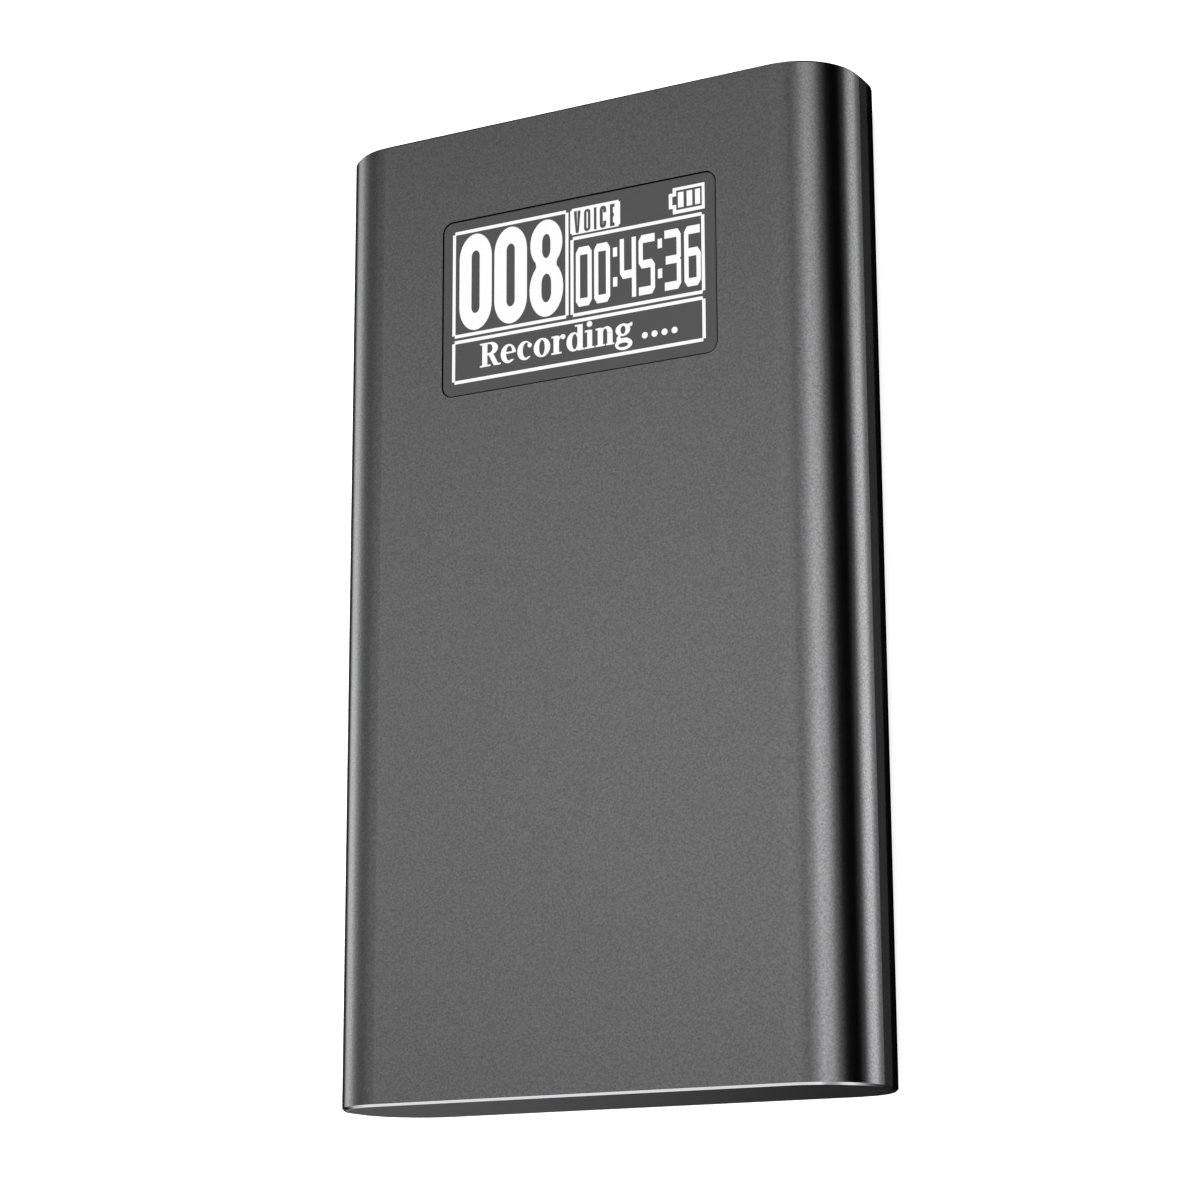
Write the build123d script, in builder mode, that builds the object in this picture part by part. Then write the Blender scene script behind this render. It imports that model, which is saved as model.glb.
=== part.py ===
"""Handheld voice recorder: an aluminium tube with a flush display window, end plates, side keys,
a slide switch for recording, and its board, display and battery on a chassis that slides into the tube.

Millimetres. The recorder lies on its back: X runs across it, Y runs along it to the top end, and Z is up
through the display. The origin is the middle of the back face.
"""
from build123d import *
import os

os.makedirs("parts", exist_ok=True)

# Case
body_length = 77.5
body_width = 45.0
body_thickness = 11.8
edge_radius = 5.2
wall = 1.2
end_chamfer = 0.18
end_rim = 0.6
plate_thickness = 1.6
plate_gap = 0.05

# Display window, a little to the right of the middle
window_width = 24.4
window_height = 14.7
window_corner = 0.95
window_top_margin = 7.7
window_offset = 0.45
window_gap = 0.1
window_thickness = 0.7
window_bevel = 0.06
adhesive_thickness = 0.1
window_ledge = 0.6

# Display panel
panel_width = 26.6
panel_height = 19.8
panel_thickness = 1.4
panel_top_border = 0.8
panel_gap = 0.1
driver_ledge = 3.4
foam_thickness = 0.1
flex_width = 12.0
flex_thickness = 0.12
flex_reach = 3.6

# Chassis
chassis_gap = 0.15
chassis_wall = 1.2
chassis_floor = 0.8
rail_drop = 0.35
end_gap = 0.1

# Board
board_drop = 1.6
board_thickness = 0.8
board_length = 40.9
board_side_gap = 1.85
board_top_gap = 1.85
neck_length = 8.3
neck_gap = 0.4
cutout_gap = 0.1
rib_thickness = 0.8
rib_gap = 0.15

# End screws
end_screw_inset = 3.45
end_screw_radius = 0.8
end_screw_head_radius = 1.5
end_screw_length = 5.6
end_screw_gap = 0.05
boss_radius = 1.8
boss_length = 7.8
boss_bottom_wall = 1.0
web_width = 1.8
web_shift = 0.6

# Board screws
board_screw_radius = 0.7
board_screw_head_radius = 1.3
board_screw_head_height = 0.7
board_screw_length = 2.6
standoff_radius = 1.9
post_radius = 0.9
screw_play = 0.03
screw_hole_play = 0.1
screw_hole_extra = 0.2
right_screw_inset = 2.5
left_screw_inset = 4.7
bottom_screw_inset = 2.2
top_screw_inset = 12.4
recess_length = 1.3
recess_width = 0.3
recess_depth = 0.4

# Record switch
switch_x = -9.6
switch_travel = 2.0
switch_width = 7.0
switch_depth = 3.4
switch_height = 3.0
switch_setback = 1.15
lever_width = 1.6
lever_height = 1.2
lever_gap = 0.08
knob_width = 6.0
knob_height = 3.2
knob_proud = 0.5
knob_rim = 0.1
pocket_depth = 0.85
knob_gap = 0.05
knob_stem_width = 2.6
knob_stem_height = 1.6
knob_rib_count = 5
knob_rib_pitch = 0.8

# Side keys
key_names = ("play", "previous", "next", "menu")
first_key_margin = 14.25
key_pitch = 7.5
key_length = 5.5
key_height = 2.6
key_proud = 0.3
key_gap = 0.08
key_round = 0.2
key_travel = 0.2
flange_margin = 0.75
flange_height = 3.4
flange_thickness = 0.5
flange_standoff = 0.25
tact_depth = 3.0
tact_width = 4.6
tact_height = 3.0
tact_standoff = 0.6
stem_width = 2.0
stem_height = 1.2
stem_length = 2.2
spring_width = 1.6
spring_rise = 0.2
spring_thickness = 0.08

# USB-C socket
usb_x = 0.0
usb_width = 8.94
usb_height = 3.16
usb_wall = 0.3
usb_length = 7.95
usb_setback = 0.2
usb_port_gap = 0.08
tongue_width = 6.7
tongue_thickness = 0.7
tongue_length = 4.9
tongue_setback = 0.3
insert_play = 0.02
contact_count = 12
contact_pitch = 0.5
contact_width = 0.25
contact_thickness = 0.04
contact_length = 3.6

# Earphone jack
jack_x = 8.4
jack_width = 6.0
jack_height = 5.0
jack_length = 11.4
jack_bore_radius = 1.8
jack_bore_length = 11.45
jack_nose_radius = 2.5
jack_nose_length = 1.85
jack_nose_gap = 0.1
jack_setback = 0.3
terminal_width = 0.8
terminal_thickness = 0.25
terminal_pitch = 3.2

# Microphone
mic_x = 13.7
mic_radius = 2.0
mic_length = 1.5
mic_boot_radius = 2.3
mic_boot_length = 2.5
mic_boot_front = 0.7
cradle_width = 3.8
mic_play = 0.03
mic_hole_radius = 0.45
mesh_radius = 1.2
mesh_thickness = 0.12

# Status lamp
lamp_x = -15.2
lamp_radius = 0.6
lamp_gap = 0.05
lamp_flange_radius = 1.0
lamp_flange_length = 0.8
led_size = (1.4, 1.2, 2.2)

# Battery
cell_width = 34.4
cell_thickness = 6.5
cell_end_gap = 0.85
cell_board_gap = 4.2
cell_round = 1.2
pad_thickness = 0.1
pad_margin = 3.0
terrace_length = 3.0
terrace_thickness = 0.15
terrace_inset = 1.5
guard_width = 28.0
guard_depth = 2.6
guard_thickness = 0.8
tape_thickness = 0.08
tape_depth = 1.5
wire_radius = 0.4
wire_gap = 0.1
wire_spacing = 1.25
wire_start_x = -4.0
wire_run_inset = 1.0
plug_size = (3.6, 5.0, 1.9)
plug_x = 10.8
plug_inset = 5.6
plug_lift = 0.25
plug_reach = 1.4
plug_play = 0.05
socket_wall = 0.4
socket_length = 5.0
socket_height = 2.7

# Snap legs of the bottom plate
leg_inset = 2.55
leg_thickness = 1.0
leg_height = 3.0
leg_length = 8.0
hook_reach = 0.95
hook_length = 1.8
hook_gap = 0.1

# Places worked out from the sizes above
half_length = body_length / 2
half_width = body_width / 2
mid_z = body_thickness / 2
inner_width = body_width - 2 * wall
inner_height = body_thickness - 2 * wall
inner_radius = edge_radius - wall
inner_top = body_thickness - wall
plate_inner_y = half_length - plate_thickness
plate_width = body_width - 2 * end_rim - 2 * plate_gap
plate_height = body_thickness - 2 * end_rim - 2 * plate_gap
plate_radius = edge_radius - end_rim - plate_gap
window_y = half_length - window_top_margin - window_height / 2
window_seat = window_thickness + adhesive_thickness
lens_width = window_width - 2 * window_gap
lens_height = window_height - 2 * window_gap
lens_corner = window_corner - window_gap
aperture_width = window_width - 2 * window_ledge
aperture_height = window_height - 2 * window_ledge
panel_top_z = inner_top - panel_gap
panel_back_z = panel_top_z - panel_thickness
panel_top_y = window_y + window_height / 2 + panel_top_border
panel_bottom_y = panel_top_y - panel_height
chassis_end_y = plate_inner_y - end_gap
chassis_width = inner_width - 2 * chassis_gap
chassis_height = inner_height - 2 * chassis_gap
chassis_radius = inner_radius - chassis_gap
chassis_bottom = wall + chassis_gap
floor_top = chassis_bottom + chassis_floor
board_top = mid_z - board_drop
board_bottom = board_top - board_thickness
board_half_width = chassis_width / 2 - board_side_gap
board_top_y = half_length - board_top_gap
board_bottom_y = board_top_y - board_length
board_screw_places = (
    (board_half_width - right_screw_inset, board_top_y - top_screw_inset),
    (board_half_width - right_screw_inset, board_bottom_y + bottom_screw_inset),
    (-board_half_width + left_screw_inset, board_bottom_y + bottom_screw_inset),
)
post_places = ((-12.0, board_top_y - 6.9), (3.0, board_top_y - 8.5))
end_screw_x = plate_width / 2 - end_screw_inset
neck_half_width = end_screw_x - boss_radius - neck_gap
neck_y = board_top_y - neck_length
first_key_y = half_length - first_key_margin
key_places = [first_key_y - index * key_pitch for index in range(len(key_names))]
inner_left = -half_width + wall
flange_outer_x = inner_left + flange_standoff
flange_inner_x = flange_outer_x + flange_thickness
tact_front_x = flange_inner_x + tact_standoff
usb_z = board_top + usb_height / 2
cell_bottom_z = floor_top + pad_thickness
cell_top_z = cell_bottom_z + cell_thickness
cell_bottom_y = -plate_inner_y + cell_end_gap
cell_top_y = board_bottom_y - cell_board_gap
rail_height = cell_top_z - rail_drop
leg_x = chassis_width / 2 - leg_inset


def across(y):
    """The plane across the body at y, with its local x along +X and its local y along +Z."""
    return Plane(origin=(0, y, 0), x_dir=(1, 0, 0), z_dir=(0, -1, 0))


def along_y(x, y, z):
    """A place whose own axis points along +Y."""
    return Plane(origin=(x, y, z), x_dir=(1, 0, 0), z_dir=(0, 1, 0))


def block(low, high, mode=Mode.ADD):
    """Adds or cuts the box between two opposite corners."""
    size = [b - a for a, b in zip(low, high)]
    middle = [(a + b) / 2 for a, b in zip(low, high)]
    with Locations(tuple(middle)):
        Box(*size, mode=mode)


def rod(place, radius, length, mode=Mode.ADD):
    """Adds or cuts a cylinder that starts at a place and runs along the place's axis."""
    with Locations(place):
        Cylinder(radius, length, align=(Align.CENTER, Align.CENTER, Align.MIN), mode=mode)


def save(part, name):
    """Labels a finished piece and writes it to its own file."""
    part.label = name
    export_step(part, "parts/" + name + ".step")


# Shell: a flattened tube with a chamfered rim at each end
with BuildPart() as shell:
    with BuildSketch(across(-half_length)):
        with Locations((0, mid_z)):
            RectangleRounded(body_width, body_thickness, edge_radius)
    extrude(amount=-body_length)
    chamfer(shell.faces().filter_by(Axis.Y).edges(), end_chamfer)
    with BuildSketch(across(-half_length)):
        with Locations((0, mid_z)):
            RectangleRounded(inner_width, inner_height, inner_radius)
    extrude(amount=-body_length, mode=Mode.SUBTRACT)
    # The end plates sit in a wider seat at each end
    with BuildSketch(across(-half_length), across(plate_inner_y)):
        with Locations((0, mid_z)):
            RectangleRounded(
                body_width - 2 * end_rim, body_thickness - 2 * end_rim, edge_radius - end_rim
            )
    extrude(amount=-plate_thickness, mode=Mode.SUBTRACT)
    # The window lies in a pocket, on a ledge around the aperture
    with BuildSketch(Plane.XY.offset(body_thickness)):
        with Locations((window_offset, window_y)):
            RectangleRounded(window_width, window_height, window_corner)
    extrude(amount=-window_seat, mode=Mode.SUBTRACT)
    with BuildSketch(Plane.XY.offset(body_thickness)):
        with Locations((window_offset, window_y)):
            RectangleRounded(aperture_width, aperture_height, window_corner / 2)
    extrude(amount=-2 * wall, mode=Mode.SUBTRACT)
    # The side keys come through the left wall
    with BuildSketch(Plane.YZ.offset(-half_width)):
        with Locations([(y, mid_z) for y in key_places]):
            SlotOverall(key_length + 2 * key_gap, key_height + 2 * key_gap)
    extrude(amount=2 * wall, mode=Mode.SUBTRACT)
save(shell.part, "shell")

# Display window with a fine bevel around its face
with BuildPart() as display_window:
    with BuildSketch(Plane.XY.offset(body_thickness - window_thickness)):
        with Locations((window_offset, window_y)):
            RectangleRounded(lens_width, lens_height, lens_corner)
    extrude(amount=window_thickness)
    chamfer(display_window.faces().sort_by(Axis.Z)[-1].edges(), window_bevel)
save(display_window.part, "display_window")

with BuildPart() as window_adhesive:
    with BuildSketch(Plane.XY.offset(body_thickness - window_seat)):
        with Locations((window_offset, window_y)):
            RectangleRounded(lens_width, lens_height, lens_corner)
            RectangleRounded(aperture_width, aperture_height, window_corner / 2, mode=Mode.SUBTRACT)
    extrude(amount=adhesive_thickness)
save(window_adhesive.part, "window_adhesive")

# Display panel: two sheets of glass, the back one longer, with the driver chip on its ledge
half_panel = panel_width / 2
ledge_z = panel_back_z + panel_thickness / 2
with BuildPart() as oled_panel:
    block((-half_panel, panel_bottom_y, panel_back_z), (half_panel, panel_top_y, ledge_z))
    block((-half_panel, panel_bottom_y + driver_ledge, ledge_z), (half_panel, panel_top_y, panel_top_z))
save(oled_panel.part, "oled_panel")

driver_size = (12.0, 1.0, 0.3)
driver_y = panel_bottom_y + driver_ledge / 2 + 0.6
with BuildPart() as display_driver:
    with Locations((0, driver_y, ledge_z)):
        Box(*driver_size, align=(Align.CENTER, Align.CENTER, Align.MIN))
save(display_driver.part, "display_driver")

# The flexible tail leaves the ledge's edge, turns back and ends on the board
tail_top = ledge_z - flex_thickness / 2
tail_bottom = board_top + flex_thickness / 2
tail_bend = 0.49 * (tail_top - tail_bottom)
with BuildPart() as oled_flex:
    with BuildSketch(Plane.YZ.offset(-flex_width / 2)):
        with BuildLine():
            FilletPolyline(
                (panel_bottom_y, tail_top),
                (panel_bottom_y - flex_reach, tail_top),
                (panel_bottom_y - flex_reach, tail_bottom),
                (panel_bottom_y, tail_bottom),
                radius=tail_bend,
            )
        trace(line_width=flex_thickness)
    extrude(amount=flex_width)
save(oled_flex.part, "oled_flex")

# Display holder: a deck on four legs, with a lip around the panel
deck_thickness = 0.5
deck_top = panel_back_z - foam_thickness
lip_gap = 0.1
lip_thickness = 0.7
lip_top = panel_top_z - 0.3
holder_bottom_y = panel_bottom_y + 0.4
holder_top_y = panel_top_y + lip_gap + lip_thickness
holder_half = half_panel + lip_gap + lip_thickness
leg_side = 1.6
leg_setback = 1.2
with BuildPart() as display_holder:
    block(
        (-holder_half, holder_bottom_y, deck_top - deck_thickness),
        (holder_half, holder_top_y, lip_top),
    )
    block(
        (-half_panel - lip_gap, holder_bottom_y - 1, deck_top),
        (half_panel + lip_gap, panel_top_y + lip_gap, lip_top + 1),
        Mode.SUBTRACT,
    )
    for side in (-1, 1):
        leg_center = side * (holder_half - leg_side / 2)
        for leg_y in (holder_bottom_y + leg_setback, holder_top_y - leg_side / 2 - leg_setback):
            block(
                (leg_center - leg_side / 2, leg_y - leg_side / 2, board_top),
                (leg_center + leg_side / 2, leg_y + leg_side / 2, deck_top - deck_thickness),
            )
save(display_holder.part, "display_holder")

foam_margin = 1.5
with BuildPart() as display_foam:
    block(
        (-half_panel + foam_margin, panel_bottom_y + foam_margin, deck_top),
        (half_panel - foam_margin, panel_top_y - foam_margin, panel_back_z),
    )
save(display_foam.part, "display_foam")

# Chassis: a tray that follows the tube's round sides, high around the battery and low under the board
rail_end_y = board_bottom_y - rib_thickness - 0.2
foot_z = chassis_bottom + chassis_floor / 2
boss_start_y = chassis_end_y - boss_length
with BuildPart() as chassis:
    with BuildSketch(across(-chassis_end_y)):
        with Locations((0, mid_z)):
            RectangleRounded(chassis_width, chassis_height, chassis_radius)
    extrude(amount=-2 * chassis_end_y)
    with BuildSketch(across(-chassis_end_y)):
        with Locations((0, floor_top + chassis_height / 2)):
            RectangleRounded(
                chassis_width - 2 * chassis_wall, chassis_height, chassis_radius - chassis_wall
            )
    extrude(amount=-2 * chassis_end_y, mode=Mode.SUBTRACT)
    block(
        (-half_width, -half_length, rail_height),
        (half_width, half_length, body_thickness),
        Mode.SUBTRACT,
    )
    block(
        (-half_width, rail_end_y, board_bottom),
        (half_width, half_length, body_thickness),
        Mode.SUBTRACT,
    )
    # Rib between the battery and the board
    block(
        (-board_half_width + 1, rail_end_y, foot_z),
        (board_half_width - 1, rail_end_y + rib_thickness, board_bottom - rib_gap),
    )
    # Screw bosses at the top end, each on a web
    for side in (-1, 1):
        rod(along_y(side * end_screw_x, boss_start_y, mid_z), boss_radius, boss_length)
        web_center = side * (end_screw_x - web_shift)
        block(
            (web_center - web_width / 2, boss_start_y, foot_z),
            (web_center + web_width / 2, chassis_end_y, mid_z),
        )
    for side in (-1, 1):
        screw_start = along_y(side * end_screw_x, boss_start_y + boss_bottom_wall, mid_z)
        rod(screw_start, end_screw_radius + screw_play, boss_length, Mode.SUBTRACT)
    # Standoffs under the board, and two plain posts
    for x, y in board_screw_places:
        rod(Plane(origin=(x, y, foot_z)), standoff_radius, board_bottom - foot_z)
    for x, y in post_places:
        rod(Plane(origin=(x, y, foot_z)), post_radius, board_bottom - foot_z)
    for x, y in board_screw_places:
        screw_end = Plane(origin=(x, y, board_top - board_screw_length - screw_hole_extra))
        rod(screw_end, board_screw_radius + screw_play, board_screw_length, Mode.SUBTRACT)
    # Cradle under the microphone's boot
    block(
        (mic_x - cradle_width / 2, chassis_end_y - mic_boot_length, foot_z),
        (mic_x + cradle_width / 2, chassis_end_y, mid_z - mic_boot_radius - mic_play),
    )
    # Windows for the snap legs
    for side in (-1, 1):
        hook_start = -plate_inner_y + leg_length - hook_length - hook_gap
        window_x = sorted((side * leg_x, side * half_width))
        block(
            (window_x[0], hook_start, mid_z - leg_height / 2 - hook_gap),
            (window_x[1], hook_start + hook_length + 2 * hook_gap, mid_z + leg_height / 2 + hook_gap),
            Mode.SUBTRACT,
        )
save(chassis.part, "chassis")

# Main board, with a narrow neck between the screw bosses and cut-outs for the jack and microphone
jack_mouth_y = half_length - jack_setback
jack_front_y = jack_mouth_y - jack_nose_length
jack_back_y = jack_front_y - jack_length
mic_notch_y = chassis_end_y - mic_boot_length - 3 * cutout_gap
with BuildPart() as main_board:
    block((-board_half_width, board_bottom_y, board_bottom), (board_half_width, neck_y, board_top))
    block((-neck_half_width, neck_y, board_bottom), (neck_half_width, board_top_y, board_top))
    block(
        (jack_x - jack_width / 2 - cutout_gap, jack_back_y - cutout_gap, board_bottom),
        (jack_x + jack_width / 2 + cutout_gap, half_length, board_top),
        Mode.SUBTRACT,
    )
    block((jack_x, mic_notch_y, board_bottom), (half_width, half_length, board_top), Mode.SUBTRACT)
    for x, y in board_screw_places:
        rod(
            Plane(origin=(x, y, board_bottom)),
            board_screw_radius + screw_hole_play,
            board_thickness,
            Mode.SUBTRACT,
        )
save(main_board.part, "main_board")

# Board screws with a round head and a cross recess
with BuildPart() as board_screws:
    for x, y in board_screw_places:
        rod(Plane(origin=(x, y, board_top)), board_screw_head_radius, board_screw_head_height)
    fillet(
        board_screws.faces().filter_by(Axis.Z).group_by(Axis.Z)[-1].edges(), board_screw_head_height / 2
    )
    for x, y in board_screw_places:
        rod(Plane(origin=(x, y, board_top - board_screw_length)), board_screw_radius, board_screw_length)
        with Locations((x, y, board_top + board_screw_head_height)):
            Box(recess_length, recess_width, 2 * recess_depth, mode=Mode.SUBTRACT)
            Box(recess_width, recess_length, 2 * recess_depth, mode=Mode.SUBTRACT)
save(board_screws.part, "board_screws")


def board_piece(name, places, size, corner=0.0):
    """One or more equal packages that stand on the board at the given places."""
    with BuildPart() as pieces:
        for x, y in places:
            with Locations((x, y, board_top)):
                Box(*size, align=(Align.CENTER, Align.CENTER, Align.MIN))
        if corner > 0:
            chamfer(pieces.edges().filter_by(Axis.Z), corner)
    save(pieces.part, name)


# The signal parts keep their places under the display, the power parts at the board's lower end
processor_x = -3.5
processor_y = window_y - 4.25
power_row_y = board_bottom_y + 8.5
passive_pitch = 1.9
row_length = 4
row_start_x = processor_x - passive_pitch * (row_length - 1) / 2
row_places = [row_start_x + index * passive_pitch for index in range(row_length)]
capacitor_places = [(x, processor_y + 5.9) for x in row_places]
resistor_places = [(x, processor_y - 5.3) for x in row_places]
board_piece("processor", [(processor_x, processor_y)], (7.0, 7.0, 0.85), 0.25)
board_piece("audio_chip", [(processor_x + 11.0, processor_y - 0.5)], (4.0, 4.0, 0.8), 0.2)
board_piece("crystal", [(processor_x - 7.3, processor_y + 1.0)], (3.2, 1.5, 0.7), 0.3)
board_piece("inductor", [(processor_x - 7.0, processor_y + 6.5)], (3.0, 3.0, 1.5), 0.4)
board_piece("memory_chip", [(processor_x - 7.0, power_row_y + 0.5)], (8.0, 6.0, 0.9), 0.2)
board_piece("charger_chip", [(processor_x + 6.0, power_row_y)], (3.0, 3.0, 0.8), 0.2)
board_piece("capacitors", capacitor_places, (1.2, 1.6, 0.8))
board_piece("resistors", resistor_places, (0.8, 1.6, 0.45))

# Top plate: record-switch pocket and slot, port, earphone hole, microphone hole, lamp hole, screws
pocket_width = knob_width + switch_travel + 2 * knob_rim
with BuildPart() as top_plate:
    with BuildSketch(across(plate_inner_y)):
        with Locations((0, mid_z)):
            RectangleRounded(plate_width, plate_height, plate_radius)
    extrude(amount=-plate_thickness)
    with BuildSketch(across(half_length)):
        with Locations((switch_x, mid_z)):
            RectangleRounded(pocket_width, knob_height + 2 * knob_rim, 0.5)
    extrude(amount=pocket_depth, mode=Mode.SUBTRACT)
    with BuildSketch(across(half_length)):
        with Locations((switch_x, mid_z)):
            Rectangle(knob_stem_width + switch_travel + 2 * knob_rim, knob_stem_height + 2 * knob_rim)
        with Locations((usb_x, usb_z)):
            SlotOverall(usb_width + 2 * usb_port_gap, usb_height + 2 * usb_port_gap)
        with Locations((jack_x, mid_z)):
            Circle(jack_nose_radius + jack_nose_gap)
        with Locations((mic_x, mid_z)):
            Circle(mic_hole_radius)
        with Locations((lamp_x, mid_z)):
            Circle(lamp_radius + lamp_gap)
    extrude(amount=2 * plate_thickness, both=True, mode=Mode.SUBTRACT)
    rod(
        along_y(mic_x, plate_inner_y, mid_z),
        mesh_radius + mic_play,
        mesh_thickness + mic_play,
        Mode.SUBTRACT,
    )
    with Locations(*[along_y(side * end_screw_x, half_length, mid_z) for side in (-1, 1)]):
        CounterSinkHole(end_screw_radius + 0.1, end_screw_head_radius + end_screw_gap, 2 * plate_thickness)
save(top_plate.part, "top_plate")

# End screws: countersunk, with a cross recess
cone_height = end_screw_head_radius - end_screw_radius
head_y = half_length - 0.02
with BuildPart() as end_screws:
    for side in (-1, 1):
        head = along_y(side * end_screw_x, head_y, mid_z)
        with Locations(head):
            Cone(
                end_screw_radius,
                end_screw_head_radius,
                cone_height,
                align=(Align.CENTER, Align.CENTER, Align.MAX),
            )
            Cylinder(
                end_screw_radius, end_screw_length, align=(Align.CENTER, Align.CENTER, Align.MAX)
            )
            Box(recess_length, recess_width, 2 * recess_depth, mode=Mode.SUBTRACT)
            Box(recess_width, recess_length, 2 * recess_depth, mode=Mode.SUBTRACT)
save(end_screws.part, "end_screws")

# Bottom plate with two legs that snap into the chassis
leg_back_y = -plate_inner_y + leg_length
with BuildPart() as bottom_plate:
    with BuildSketch(across(-half_length)):
        with Locations((0, mid_z)):
            RectangleRounded(plate_width, plate_height, plate_radius)
    extrude(amount=-plate_thickness)
    for side in (-1, 1):
        leg_side_x = sorted((side * (leg_x - leg_thickness / 2), side * (leg_x + leg_thickness / 2)))
        block(
            (leg_side_x[0], -plate_inner_y - 0.4, mid_z - leg_height / 2),
            (leg_side_x[1], leg_back_y, mid_z + leg_height / 2),
        )
        hook_root = side * (leg_x + leg_thickness / 2)
        with BuildSketch(Plane.XY.offset(mid_z - leg_height / 2)):
            with BuildLine():
                Polyline(
                    (hook_root, leg_back_y),
                    (hook_root, leg_back_y - hook_length),
                    (hook_root + side * hook_reach, leg_back_y - hook_length),
                    close=True,
                )
            make_face()
        extrude(amount=leg_height)
save(bottom_plate.part, "bottom_plate")

# Record switch: body on the board, lever in its slot, and the knob pushed on the lever
switch_front_y = plate_inner_y - switch_setback
switch_back_y = switch_front_y - switch_depth
rest_x = switch_x - switch_travel / 2
with BuildPart() as slide_switch_body:
    block(
        (switch_x - switch_width / 2, switch_back_y, board_top),
        (switch_x + switch_width / 2, switch_front_y, board_top + switch_height),
    )
    slot_half = (lever_width + switch_travel) / 2 + lever_gap
    block(
        (switch_x - slot_half, switch_front_y - 2.5, mid_z - lever_height / 2 - lever_gap),
        (switch_x + slot_half, switch_front_y + 1, mid_z + lever_height / 2 + lever_gap),
        Mode.SUBTRACT,
    )
save(slide_switch_body.part, "slide_switch_body")

knob_floor_y = half_length - pocket_depth + knob_gap
knob_stem_back_y = switch_front_y + 0.3
lever_end_y = knob_floor_y - 0.3
with BuildPart() as slide_switch_lever:
    block(
        (rest_x - lever_width / 2, switch_front_y - 2.4, mid_z - lever_height / 2),
        (rest_x + lever_width / 2, lever_end_y, mid_z + lever_height / 2),
    )
save(slide_switch_lever.part, "slide_switch_lever")

with BuildPart() as rec_knob:
    with BuildSketch(across(knob_floor_y)):
        with Locations((rest_x, mid_z)):
            RectangleRounded(knob_width, knob_height, 0.4)
    extrude(amount=-(half_length + knob_proud - knob_floor_y))
    fillet(rec_knob.faces().sort_by(Axis.Y)[-1].edges(), 0.15)
    # Grip grooves across the knob
    for index in range(knob_rib_count):
        groove_x = rest_x + (index - (knob_rib_count - 1) / 2) * knob_rib_pitch
        groove_y = half_length + knob_proud
        block(
            (groove_x - 0.15, groove_y - 0.25, mid_z - knob_height),
            (groove_x + 0.15, groove_y + 1, mid_z + knob_height),
            Mode.SUBTRACT,
        )
    block(
        (rest_x - knob_stem_width / 2, knob_stem_back_y, mid_z - knob_stem_height / 2),
        (rest_x + knob_stem_width / 2, knob_floor_y, mid_z + knob_stem_height / 2),
    )
    block(
        (rest_x - lever_width / 2, knob_stem_back_y - 1, mid_z - lever_height / 2),
        (rest_x + lever_width / 2, lever_end_y, mid_z + lever_height / 2),
        Mode.SUBTRACT,
    )
save(rec_knob.part, "rec_knob")

# Side keys: a rounded cap that comes through the wall, a flange behind it, and the switch's stem
for name, key_y in zip(key_names, key_places):
    with BuildPart() as button:
        with BuildSketch(Plane.YZ.offset(-half_width - key_proud)):
            with Locations((key_y, mid_z)):
                SlotOverall(key_length, key_height)
        extrude(amount=flange_outer_x + half_width + key_proud)
        fillet(button.faces().sort_by(Axis.X)[0].edges(), key_round)
        with BuildSketch(Plane.YZ.offset(flange_outer_x)):
            with Locations((key_y, mid_z)):
                RectangleRounded(key_length + 2 * flange_margin, flange_height, 0.6)
        extrude(amount=flange_thickness)
    save(button.part, name + "_button")
    with BuildPart() as stem:
        block(
            (flange_inner_x, key_y - stem_width / 2, mid_z - stem_height / 2),
            (flange_inner_x + stem_length, key_y + stem_width / 2, mid_z + stem_height / 2),
        )
    save(stem.part, name + "_stem")

# Switch bodies on the board's left edge, each with a bore for its stem and a chamber for its spring
stem_end_x = flange_inner_x + stem_length
chamber_start_x = stem_end_x - 0.5
chamber_end_x = stem_end_x + key_travel + spring_rise + spring_thickness + 0.1
chamber_half = spring_width / 2 + 0.1
with BuildPart() as tact_switches:
    for key_y in key_places:
        block(
            (tact_front_x, key_y - tact_width / 2, board_top),
            (tact_front_x + tact_depth, key_y + tact_width / 2, board_top + tact_height),
        )
        block(
            (
                tact_front_x - 1,
                key_y - stem_width / 2 - key_gap,
                mid_z - stem_height / 2 - key_gap,
            ),
            (
                chamber_start_x + 0.1,
                key_y + stem_width / 2 + key_gap,
                mid_z + stem_height / 2 + key_gap,
            ),
            Mode.SUBTRACT,
        )
        block(
            (chamber_start_x, key_y - stem_width / 2 - 0.1, mid_z - chamber_half),
            (chamber_end_x, key_y + stem_width / 2 + 0.1, mid_z + chamber_half),
            Mode.SUBTRACT,
        )
save(tact_switches.part, "tact_switches")

# Snap strips: each an arched strip of thin metal behind its stem
arch_foot_x = chamber_end_x - spring_thickness / 2 - 0.02
arch_top_x = arch_foot_x - spring_rise
with BuildPart() as switch_springs:
    for key_y in key_places:
        with BuildSketch(across(key_y + spring_width / 2)):
            with BuildLine():
                ThreePointArc(
                    (arch_foot_x, mid_z - spring_width / 2),
                    (arch_top_x, mid_z),
                    (arch_foot_x, mid_z + spring_width / 2),
                )
            trace(line_width=spring_thickness)
        extrude(amount=spring_width)
save(switch_springs.part, "switch_springs")

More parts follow.
